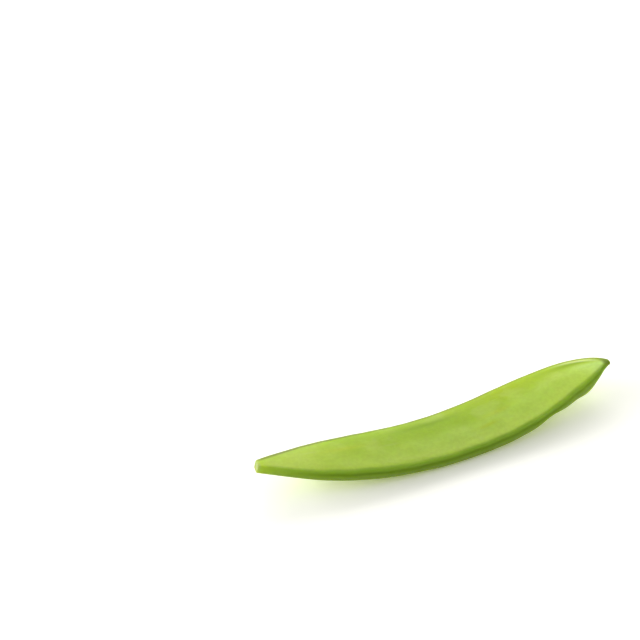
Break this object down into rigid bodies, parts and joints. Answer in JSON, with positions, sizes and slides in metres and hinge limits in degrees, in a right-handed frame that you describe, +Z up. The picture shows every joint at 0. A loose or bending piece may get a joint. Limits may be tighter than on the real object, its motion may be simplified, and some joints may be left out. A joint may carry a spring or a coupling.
{
  "type": "snow pea pod",
  "caption": "Flat green snow pea pod lying on its side, bowed so its ends lift, with a thick ventral edge, a thin dorsal edge, a cut stem stub and a short dark beak.",
  "frame": {"origin": "on the surface that the pod lies on, under the middle of its bounding box", "axes": "+X from the cut stem end to the beak, +Y from the ventral (pea-bearing) edge to the dorsal edge, +Z up, across the pod's flat thickness"},
  "size_m": [0.0864, 0.0176, 0.0087],
  "materials": {
    "pod_skin": "smooth waxy green skin with a soft satin sheen and faint net veins"
  },
  "bodies": {
    "root": {"pod": "pod_skin"}
  },
  "joints": []
}
